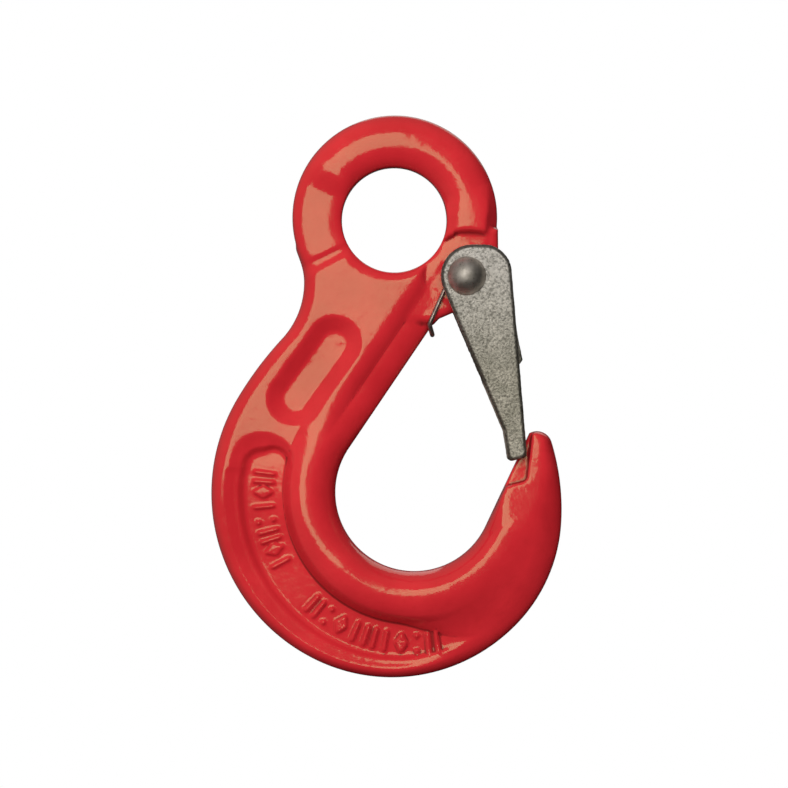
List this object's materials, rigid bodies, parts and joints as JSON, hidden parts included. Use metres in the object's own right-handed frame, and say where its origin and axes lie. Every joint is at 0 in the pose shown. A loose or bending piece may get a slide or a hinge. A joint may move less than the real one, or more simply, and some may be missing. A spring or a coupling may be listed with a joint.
{
  "type": "eye sling hook with latch",
  "caption": "Forged steel eye sling hook, painted, with a cast spring-loaded safety latch on a round-head rivet that closes the throat.",
  "frame": {"origin": "centre of the eye, in the middle of its thickness", "axes": "+Z from the bowl to the crown of the eye, +X towards the side where the hook opens, +Y along the eye's axis, away from the front"},
  "size_m": [0.1139, 0.032, 0.1827],
  "materials": {
    "painted_forging": "gloss",
    "cast_latch": "zinc plated, rough cast",
    "rivet_steel": "satin",
    "spring_steel": "oiled"
  },
  "bodies": {
    "hook": {"hook_body": "painted_forging", "latch_spring": "spring_steel"},
    "latch": {"latch": "cast_latch", "latch_rivet": "rivet_steel"}
  },
  "joints": [
    {"name": "latch_pivot", "type": "hinge", "parent": "hook", "child": "latch", "pos_m": [0.0234, 0, -0.01835], "axis": [0, 1, 0], "range_deg": [0, 40], "stiffness_Nm_per_rad": 0.2, "springref_deg": -57.3, "deforming": ["latch_spring"]}
  ]
}
